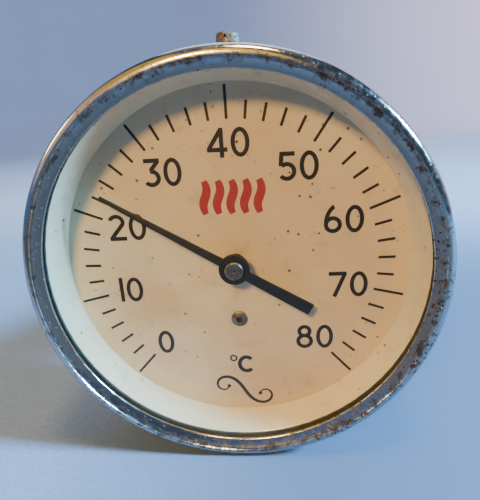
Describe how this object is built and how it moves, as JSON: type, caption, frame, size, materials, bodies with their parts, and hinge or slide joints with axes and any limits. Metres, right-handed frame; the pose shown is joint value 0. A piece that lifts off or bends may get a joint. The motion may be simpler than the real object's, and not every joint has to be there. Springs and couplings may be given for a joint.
{
  "type": "dial thermometer",
  "caption": "Round dial thermometer with a rear stem: chromed bezel, cream 0 to 80 degree Celsius scale, black pointer on a bimetal helix, and a loose gland nut on the stem.",
  "frame": {"origin": "on the stem's axis, at the plane of the seat collar's rear face, which seats on the pocket", "axes": "the dial faces -Y, +Z is twelve o'clock, +X is three o'clock, and the stem points along +Y"},
  "size_m": [0.113, 0.1727, 0.1159],
  "materials": {
    "black_enamel": "black stoving enamel, satin",
    "pitted_chrome": "old chrome plate, polished and pitted",
    "cream_enamel": "glossy cream enamel",
    "gasket_rubber": "matt",
    "window_glass": "clear",
    "rusty_steel": "steel browned by rust",
    "brass": "dull machined brass",
    "scale_enamel": "aged cream enamel with small brown specks",
    "steel": "turned steel",
    "blued_steel": "dark blued steel",
    "pointer_black": "black paint, satin",
    "nickel": "turned and nickel plated",
    "fibre": "red-brown vulcanised fibre",
    "bimetal": "rolled bimetal strip"
  },
  "bodies": {
    "instrument": {"case_shell": "black_enamel", "bezel_ring": "pitted_chrome", "chapter_ring": "cream_enamel", "glass_gasket": "gasket_rubber", "window_glass": "window_glass", "bezel_screw": "rusty_steel", "bezel_screw_bush": "brass", "dial_plate": "scale_enamel", "pillar_1": "brass", "pillar_2": "brass", "pillar_3": "brass", "plate_screw_1": "steel", "plate_screw_2": "steel", "plate_screw_3": "steel", "carrier_plate": "brass", "dial_screw": "blued_steel", "stem_head": "brass", "case_lock_nut": "brass", "case_washer": "fibre", "seat_collar": "brass", "stem_tube": "brass", "stem_end_plug": "brass", "helix_anchor": "brass", "lower_bearing": "brass", "upper_bearing": "brass", "bimetal_helix": "bimetal"},
    "pointer": {"pointer_blade": "pointer_black", "pointer_boss": "nickel", "spindle": "steel", "thrust_collar": "brass", "helix_hub": "brass"},
    "gland": {"gland_nut": "brass"}
  },
  "joints": [
    {"name": "pointer_turn", "type": "hinge", "parent": "instrument", "child": "pointer", "pos_m": [0, -0.0606, 0], "axis": [0, 1, 0], "range_deg": [-88, 205], "stiffness_Nm_per_rad": 0.006, "deforming": ["bimetal_helix"]},
    {"name": "gland_nut_turn", "type": "hinge", "parent": "instrument", "child": "gland", "pos_m": [0, -0.0164, 0], "axis": [0, 1, 0], "continuous": true}
  ]
}
